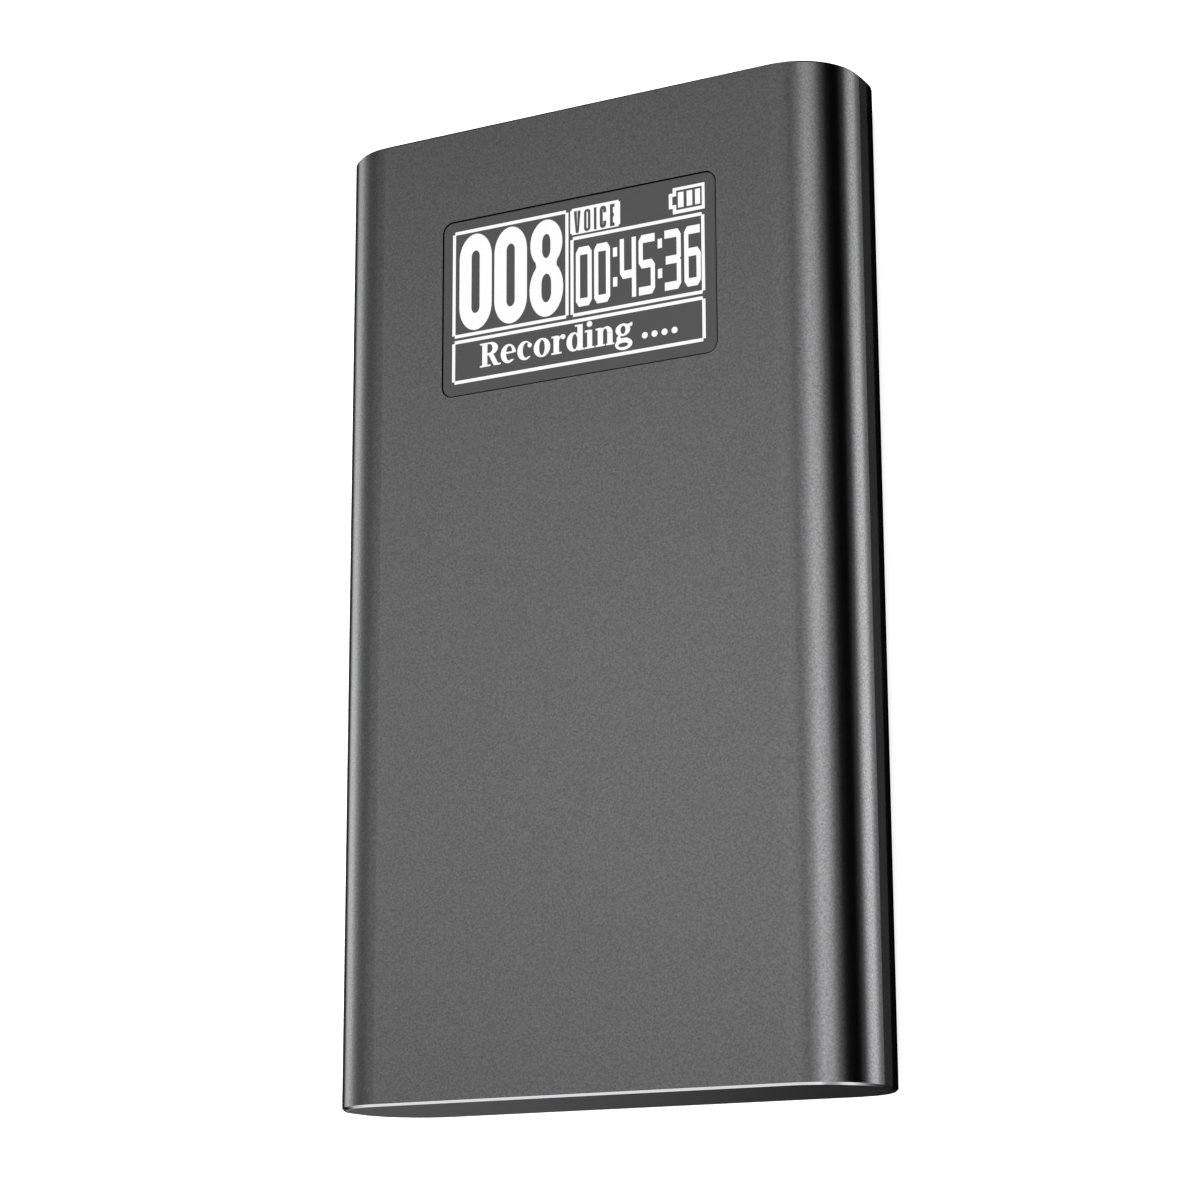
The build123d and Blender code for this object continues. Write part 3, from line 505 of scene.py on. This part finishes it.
# %% Battery sign
battery = (8.48, 4.29, 11.26, 6.46)
battery_line = (0.33, 0.28)
nub = (8.14, 4.76, 6.04)
nub_line = 0.3
battery_bars = ((8.93, 9.45), (9.68, 10.2), (10.4, 10.87))
bar_margin = 0.14
left, bottom, right, top = battery
nub_left, nub_bottom, nub_top = nub
side_line, flat_line = battery_line
battery_outline = [
    (left, bottom), (right, bottom), (right, top), (left, top),
    (left, nub_top), (nub_left, nub_top), (nub_left, nub_bottom), (left, nub_bottom),
]
hollow_left, hollow_bottom = left + side_line, bottom + side_line
hollow_right, hollow_top = right - flat_line, top - flat_line
battery_hollow = [
    (hollow_left, hollow_bottom), (hollow_right, hollow_bottom),
    (hollow_right, hollow_top), (hollow_left, hollow_top),
    (hollow_left, nub_top - nub_line), (left, nub_top - nub_line),
    (left, nub_bottom + nub_line), (hollow_left, nub_bottom + nub_line),
]
signs.append(sign_mesh("battery_sign", [battery_outline, battery_hollow]))
for bar_left, bar_right in battery_bars:
    bar = rectangle(bar_left, hollow_bottom + bar_margin, bar_right, hollow_top - bar_margin)
    signs.append(sign_mesh("battery_bar", [bar]))

# %% Tag with dark letters
tag = (-0.54, 4.22, 3.92, 6.43)
letter_bottom = 4.36
letter_height = 1.8
letter_stroke = 0.24


def letter_v(w, h, s):
    return [[(w / 2 - s / 2, 0), (w / 2 + s / 2, 0), (w, h), (w - s, h), (w / 2, h * 0.32), (s, h), (0, h)]]


def letter_o(w, h, s):
    return [oval(0, 0, w, h, w / 2), oval(s, s, w - s, h - s, w / 2 - s)]


def letter_i(w, h, s):
    return [rectangle(0, 0, w, h)]


def letter_c(w, h, s):
    """An open oval: round at the top and bottom, with a gap at the right."""
    outer, inner = w / 2, w / 2 - s
    gap = h * 0.3
    return [
        [(w, gap)] + arc((outer, outer), (outer, outer), 360, 180)
        + arc((outer, h - outer), (outer, outer), 180, 0)
        + [(w, h - gap), (w - s, h - gap)] + arc((outer, h - outer), (inner, inner), 0, 180)
        + arc((outer, outer), (inner, inner), 180, 360) + [(w - s, gap)]
    ]


def letter_e(w, h, s):
    return [[
        (0, 0), (w, 0), (w, s), (s, s), (s, (h - s) / 2), (w * 0.85, (h - s) / 2),
        (w * 0.85, (h + s) / 2), (s, (h + s) / 2), (s, h - s), (w, h - s), (w, h), (0, h),
    ]]


tag_letters = (
    (-0.19, 0.58, letter_v), (0.72, 0.54, letter_o), (1.6, 0.2, letter_i),
    (2.12, 0.54, letter_c), (3.02, 0.38, letter_e),
)
tag_outlines = [stepped_corners(*tag, 0.14)]
for letter_left, letter_width, letter in tag_letters:
    for outline in letter(letter_width, letter_height, letter_stroke):
        tag_outlines.append([(x + letter_left, y + letter_bottom) for x, y in outline])
signs.append(sign_mesh("tag", tag_outlines))
print("signs so far:", len(signs))

# %% [markdown]
# ## Numbers
# The take number is set in tall, heavy, round-ended figures. A nought is one oval with a narrow slot.
# An eight is two ovals that meet at a waist. The clock figures are drawn with straight strokes whose
# corners are cut, thicker across than down, because the display stretches them.

# %% Take number
figure_bottom = -2.09
figure_top = 5.98
figure_end = 2.1
nought_lefts = (-10.62, -7.41)
nought_width = 3.0
slot = (0.72, -0.65, 4.54, 0.5)
slot_width, slot_bottom, slot_top, slot_end = slot
for nought_left in nought_lefts:
    slot_left = nought_left + (nought_width - slot_width) / 2
    outline = oval(nought_left, figure_bottom, nought_left + nought_width, figure_top, figure_end)
    hole = oval(slot_left, slot_bottom, slot_left + slot_width, slot_top, slot_end)
    signs.append(sign_mesh("nought", [outline, hole]))

eight_middle = -2.68
waist = (0.93, 2.2)
upper_lobe = (1.46, 2.0)
lower_lobe = (1.53, 2.32)


def lobe(center_y, radii, start, end):
    return arc((eight_middle, center_y), radii, start, end, 2 * arc_steps)


eight_outline = (
    lobe(figure_top - upper_lobe[1], upper_lobe, -48, 228)
    + [(eight_middle - waist[0], waist[1])]
    + lobe(figure_bottom + lower_lobe[1], lower_lobe, 128, 412)
    + [(eight_middle + waist[0], waist[1])]
)
eight_holes = ((0.36, 2.79, 4.76, 0.7), (0.42, -0.87, 1.46, 0.8))
holes = [
    oval(eight_middle - half, low, eight_middle + half, high, end)
    for half, low, high, end in eight_holes
]
signs.append(sign_mesh("eight", [eight_outline] + holes))

# %% Clock figures
clock_bottom = -1.78
W, H = 1.44, 4.92
D, C = 0.4, 0.7
CUT_X, CUT_Y = 0.27, 0.46
M = H / 2


def cut_box(left, bottom, right, top):
    """A rectangle with its four corners cut off, more along than across."""
    return [
        (left + CUT_X, bottom), (right - CUT_X, bottom), (right, bottom + CUT_Y), (right, top - CUT_Y),
        (right - CUT_X, top), (left + CUT_X, top), (left, top - CUT_Y), (left, bottom + CUT_Y),
    ]


clock_nought = [cut_box(0, 0, W, H), rectangle(D, C, W - D, H - C)]
four_bar = 1.6
clock_four = [[
    (W - D, 0), (W, 0), (W, H), (W - D, H), (W - D, four_bar + C), (D, four_bar + C), (D, H), (0, H),
    (0, four_bar + CUT_Y), (CUT_X, four_bar), (W - D, four_bar),
]]
low_bar, high_bar = M - 0.3, M + 0.4
clock_five = [[
    (0, 0), (W - CUT_X, 0), (W, CUT_Y), (W, high_bar - CUT_Y), (W - CUT_X, high_bar), (D, high_bar),
    (D, H - C), (W, H - C), (W, H), (CUT_X, H), (0, H - CUT_Y), (0, low_bar + CUT_Y), (CUT_X, low_bar),
    (W - D, low_bar), (W - D, C), (0, C),
]]
clock_three = [[
    (0, 0), (W - CUT_X, 0), (W, CUT_Y), (W, M - 0.1), (W - 0.1, M), (W, M + 0.1), (W, H - CUT_Y),
    (W - CUT_X, H), (0, H), (0, H - C), (W - D, H - C), (W - D, high_bar - 0.05), (0.1, high_bar - 0.05),
    (0.1, low_bar - 0.05), (W - D, low_bar - 0.05), (W - D, C), (0, C),
]]
six_bar = 2.43
clock_six = [
    [
        (CUT_X, 0), (W - CUT_X, 0), (W, CUT_Y), (W, six_bar + C - CUT_Y), (W - CUT_X, six_bar + C),
        (D, six_bar + C), (D, H - C), (W - 0.05, H - C), (W - 0.05, H), (CUT_X, H),
        (0, H - CUT_Y), (0, CUT_Y),
    ],
    rectangle(D, C, W - D, six_bar),
]
clock_figures = (
    (-0.05, clock_nought), (1.57, clock_nought), (3.84, clock_four),
    (5.48, clock_five), (7.73, clock_three), (9.42, clock_six),
)
for figure_left, figure in clock_figures:
    outlines = [[(x + figure_left, y + clock_bottom) for x, y in outline] for outline in figure]
    signs.append(sign_mesh("clock_figure", outlines))
dot_width, dot_height = 0.41, 0.8
for dot_left in (3.23, 7.14):
    for dot_bottom in (-0.67, 1.77):
        dot = rectangle(dot_left, dot_bottom, dot_left + dot_width, dot_bottom + dot_height)
        signs.append(sign_mesh("colon_dot", [dot]))
print("signs so far:", len(signs))

# %% [markdown]
# ## The status line
# The status line says that the recorder is recording, in a heavy face with slab feet. Each letter is put
# together as a stencil cutter would: a thick stem, bowls that are ovals with narrow counters, and flat
# feet. A letter is a list of shapes, and a shape is one outline with its holes, from the letter's own
# left side and the baseline.

# %% Letters
foot = 0.17
x_height = 1.52


def ellipse(center_x, center_y, radius_x, radius_y):
    return arc((center_x, center_y), (radius_x, radius_y), 0, 360, 2 * arc_steps)[:-1]


def stem(left, right, top, foot_left, foot_right):
    """An upright stroke that stands on a flat foot."""
    return [[rectangle(left, 0, right, top)], [rectangle(foot_left, 0, foot_right, foot)]]


def flag(left, right):
    """The short stroke at the head of a small letter."""
    return [[[(left, x_height - foot), (right, x_height - foot), (right, x_height + 0.04), (left, x_height)]]]


letter_arc_steps = 3 * arc_steps
letters = {
    "R": stem(0.21, 0.71, 2.0, 0, 1.0) + [
        [rectangle(0, 2.0 - foot, 0.71, 2.0)],
        [
            [(0.5, 0.93), (1.0, 0.93)] + arc((1.0, 1.465), (0.68, 0.535), -90, 90) + [(0.5, 2.0)],
            [(0.71, 1.13), (0.85, 1.13)] + arc((0.85, 1.48), (0.3, 0.35), -90, 90) + [(0.71, 1.83)],
        ],
        [[(0.76, 0.98), (1.26, 0.98), (1.68, foot), (1.93, foot), (1.93, 0), (1.28, 0)]],
    ],
    "e": [
        [
            arc((0.7, 0.775), (0.7, 0.8), 0, 322, letter_arc_steps)
            + arc((0.78, 0.8), (0.27, 0.58), 298, 0, letter_arc_steps)
        ],
        [rectangle(0.3, 0.76, 1.2, 0.94)],
    ],
    "c": [
        [
            arc((0.7, 0.775), (0.7, 0.8), 45, 322, letter_arc_steps)
            + arc((0.82, 0.79), (0.3, 0.6), 300, 60, letter_arc_steps)
        ],
        [ellipse(1.13, 1.16, 0.21, 0.21)],
    ],
    "o": [[ellipse(0.76, 0.775, 0.76, 0.8), ellipse(0.76, 0.775, 0.235, 0.61)]],
    "r": stem(0.19, 0.71, x_height, 0, 0.94) + flag(0, 0.5) + [
        [[(0.6, 0.95), (0.85, 1.32), (1.1, 1.4), (1.1, 1.58), (0.9, 1.56), (0.6, 1.3)]],
        [ellipse(1.06, 1.35, 0.22, 0.22)],
    ],
    "d": stem(0.975, 1.475, 2.13, 0.975, 1.62) + [
        [rectangle(0.75, 2.13 - foot, 1.2, 2.13)],
        [arc((0.64, 0.775), (0.64, 0.8), 0, 360, 2 * arc_steps)[:-1], ellipse(0.75, 0.775, 0.225, 0.61)],
    ],
    "i": stem(0.22, 0.69, x_height, 0, 0.88) + flag(0, 0.5) + [[ellipse(0.44, 2.0, 0.26, 0.26)]],
    "n": stem(0.19, 0.69, x_height, 0, 0.84) + stem(1.03, 1.53, 1.0, 0.9, 1.67) + flag(0, 0.5) + [
        [arc((1.0, 0.98), (0.53, 0.6), 0, 150) + arc((0.86, 0.98), (0.18, 0.4), 150, 0)],
    ],
    "g": [
        [ellipse(0.7, 1.04, 0.66, 0.53), ellipse(0.715, 1.03, 0.2, 0.32)],
        [[(1.0, 1.2), (1.3, 1.2), (1.54, 1.26), (1.54, 1.56), (1.36, 1.54), (1.1, 1.45)]],
        [[(0.16, 0.2), (0.5, 0.3), (0.5, 0.62), (0.3, 0.66), (0.12, 0.42)]],
        [
            [(0.35, 0.4), (0.1, 0.15)] + arc((0.77, -0.12), (0.77, 0.5), 160, 400, letter_arc_steps)
            + [(1.1, 0.38)],
            ellipse(0.72, -0.18, 0.42, 0.16),
        ],
    ],
}

# %% Status line
status_baseline = -5.31
status_word = (
    ("R", -8.7), ("e", -6.8), ("c", -5.3), ("o", -3.83), ("r", -2.24), ("d", -0.9),
    ("i", 0.72), ("n", 1.67), ("g", 3.38),
)
for letter, letter_left in status_word:
    for shape in letters[letter]:
        outlines = [[(x + letter_left, y + status_baseline) for x, y in outline] for outline in shape]
        signs.append(sign_mesh("letter", outlines))
waiting_dots = (5.98, 6.82, 7.68, 8.54)
for dot_x in waiting_dots:
    signs.append(sign_mesh("waiting_dot", [ellipse(dot_x, -5.03, 0.28, 0.28)]))
print("signs in all:", len(signs))

# %% Piece for the signs
lit_signs = join_meshes("lit_signs", signs, sign_light)
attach(lit_signs, "root")
print("lit signs:", len(lit_signs.data.polygons), "faces")

# %% [markdown]
# ## The studio
# A product like this is shot in a tunnel of long light strips that run beside it, because a tube shows
# what stands beside it as bands along its length. The world is that tunnel: its brightness depends on
# the angle around the tube's own direction, Y, and it fades towards the tunnel's two ends. The camera
# itself sees plain white instead of the strips.

# %% Light strips around the tube
strip_angles = (
    (-180, 2.2), (-177, 2.39), (-165, 2.07), (-153, 0.01), (-140, 0.01), (-129, 0.6),
    (-121.5, 0.5), (-114, 0.05), (-103, 0.002), (-67, 0.004), (-54.5, 0.857),
    (-42.5, 3.3), (-30.5, 3.11), (-18, 0.32), (-6, 0.005), (6, 0.01), (18, 0.038), (30, 0.659),
    (42.5, 2.36), (54.5, 2.8), (66.5, 1.47), (79, 0.81), (91, 1.12), (103, 1.18), (116, 1.14),
    (135, 0.696), (147, 0.497), (159, 0.547), (171, 1.155), (180, 2.2),
)
brightest = max(level for _, level in strip_angles)
world = bpy.data.worlds.new("light_tunnel")
world.use_nodes = True
world.node_tree.nodes.clear()
sky = world.node_tree
direction = add_node(sky, "ShaderNodeTexCoord").outputs["Generated"]
parts = add_node(sky, "ShaderNodeSeparateXYZ", None, {0: direction})
around = add_node(
    sky, "ShaderNodeMath", {"operation": "ARCTAN2"}, {0: parts.outputs["Z"], 1: parts.outputs["X"]}
)
turn = add_node(
    sky,
    "ShaderNodeMapRange",
    {"From Min": -math.pi, "From Max": math.pi, "To Min": 0.0, "To Max": 1.0},
    {"Value": around.outputs[0]},
)
ramp = add_node(sky, "ShaderNodeValToRGB", None, {"Fac": turn.outputs["Result"]})
ramp.color_ramp.interpolation = "LINEAR"
elements = ramp.color_ramp.elements
while len(elements) > 1:
    elements.remove(elements[-1])
for index, (angle, level) in enumerate(strip_angles):
    position = (angle + 180) / 360
    element = elements[0] if index == 0 else elements.new(position)
    element.position = position
    share = level / brightest
    element.color = (share, share, share, 1.0)
print("strips:", len(elements))

# %% Fade along the tunnel, and what the camera sees
tunnel_middle = 0.19
tunnel_half = 0.206
tunnel_rest = 0.35
off_middle = add_node(
    sky, "ShaderNodeMath", {"operation": "SUBTRACT", 1: tunnel_middle}, {0: parts.outputs["Y"]}
)
scaled = add_node(sky, "ShaderNodeMath", {"operation": "DIVIDE", 1: tunnel_half}, {0: off_middle.outputs[0]})
squared = add_node(sky, "ShaderNodeMath", {"operation": "POWER", 1: 2.0}, {0: scaled.outputs[0]})
negative = add_node(sky, "ShaderNodeMath", {"operation": "MULTIPLY", 1: -1.0}, {0: squared.outputs[0]})
bell = add_node(sky, "ShaderNodeMath", {"operation": "EXPONENT"}, {0: negative.outputs[0]})
fade = add_node(
    sky,
    "ShaderNodeMapRange",
    {"To Min": tunnel_rest * brightest, "To Max": brightest},
    {"Value": bell.outputs[0]},
)
front_card = add_node(
    sky,
    "ShaderNodeMapRange",
    {"From Min": -0.35, "From Max": -0.7, "To Min": 0.0, "To Max": 1.0},
    {"Value": parts.outputs["Y"]},
)
above = add_node(
    sky,
    "ShaderNodeMapRange",
    {"From Min": -0.1, "From Max": 0.2, "To Min": 0.1, "To Max": 1.0},
    {"Value": parts.outputs["Z"]},
)
card = add_node(
    sky, "ShaderNodeMath", {"operation": "MULTIPLY"}, {0: front_card.outputs[0], 1: above.outputs[0]}
)
strips = add_node(sky, "ShaderNodeMix", {"data_type": "RGBA", "blend_type": "MULTIPLY", 0: 1.0})
sky.links.new(ramp.outputs["Color"], strips.inputs[6])
sky.links.new(fade.outputs["Result"], strips.inputs[7])
tunnel = add_node(sky, "ShaderNodeMix", {"data_type": "RGBA", "blend_type": "ADD", 0: 1.0})
sky.links.new(strips.outputs[2], tunnel.inputs[6])
sky.links.new(card.outputs[0], tunnel.inputs[7])
seen = add_node(sky, "ShaderNodeLightPath").outputs["Is Camera Ray"]
backdrop = add_node(sky, "ShaderNodeBackground", {"Color": linear("#ffffff"), "Strength": 1.0})
studio = add_node(sky, "ShaderNodeBackground", {"Strength": 1.0}, {"Color": tunnel.outputs[2]})
shown = add_node(
    sky, "ShaderNodeMixShader", None, {0: seen, 1: studio.outputs[0], 2: backdrop.outputs[0]}
)
add_node(sky, "ShaderNodeOutputWorld", None, {"Surface": shown.outputs[0]})
bpy.context.scene.world = world
print("tunnel fades to", tunnel_rest, "of its strength")

# %% [markdown]
# ## Floor, overhead light and camera
# The recorder lies on a white light table. A light table glows a little itself, so only a faint shadow
# shows where the tube meets it. It is left out of the metal's reflections, which belong to the strips.

# %% Floor and overhead light
floor_side = 4.0
floor_mesh = bpy.data.meshes.new("light_table")
half = floor_side / 2
below = shell_low.z - mm(0.02)
floor_mesh.from_pydata(
    [(-half, -half, below), (half, -half, below), (half, half, below), (-half, half, below)],
    [],
    [(0, 1, 2, 3)],
)
floor_material, floor_tree = start_material("light_table_acrylic")[:2]
finish_material(
    floor_tree,
    {
        "Base Color": linear("#f2f2f2"),
        "Roughness": 0.9,
        "Specular IOR Level": 0.0,
        "Emission Color": linear("#ffffff"),
        "Emission Strength": 0.6,
    },
    {},
)
floor_mesh.materials.append(floor_material)
floor = bpy.data.objects.new("light_table", floor_mesh)
bpy.context.scene.collection.objects.link(floor)
floor.visible_glossy = False

overhead = bpy.data.lights.new("overhead_softbox", "AREA")
overhead.shape = "DISK"
overhead.size = 0.8
overhead.energy = 9.0
overhead_light = bpy.data.objects.new("overhead_softbox", overhead)
overhead_light.location = (0.0, 0.0, 0.9)
overhead_light.visible_glossy = False
overhead_light.visible_camera = False
bpy.context.scene.collection.objects.link(overhead_light)
print("floor side (m):", floor_side, "softbox (m):", overhead.size)

# %% [markdown]
# ## The camera
# The camera looks down at the recorder from its right and from its lower end, with a long lens. The
# tube's long side stands upright in the picture, so the camera's up direction is taken from Y.

# %% Camera
camera_distance = mm(243.4)
camera_elevation = math.radians(58.52)
camera_azimuth = math.radians(62.68)
aim_right = mm(-0.69)
aim_up = mm(-0.13)
lens_length = 94.08
roll = math.radians(0.25)
back = Vector(
    (
        math.cos(camera_elevation) * math.sin(camera_azimuth),
        -math.cos(camera_elevation) * math.cos(camera_azimuth),
        math.sin(camera_elevation),
    )
)
upright = Vector((0, 1, 0))
up = (upright - upright.dot(back) * back).normalized()
right = up.cross(back)
turned_up = up * math.cos(roll) + right * math.sin(roll)
turned_right = turned_up.cross(back)
camera_data = bpy.data.cameras.new("camera")
camera_data.lens = lens_length
camera_data.sensor_width = 36.0
camera = bpy.data.objects.new("camera", camera_data)
position = body_center + back * camera_distance + turned_right * aim_right + turned_up * aim_up
camera.matrix_world = Matrix(
    (
        (turned_right.x, turned_up.x, back.x, position.x),
        (turned_right.y, turned_up.y, back.y, position.y),
        (turned_right.z, turned_up.z, back.z, position.z),
        (0, 0, 0, 1),
    )
)
bpy.context.scene.collection.objects.link(camera)
bpy.context.scene.camera = camera
bpy.context.scene.view_settings.view_transform = "Standard"
print("camera at (mm):", [round(v * 1000, 1) for v in position])
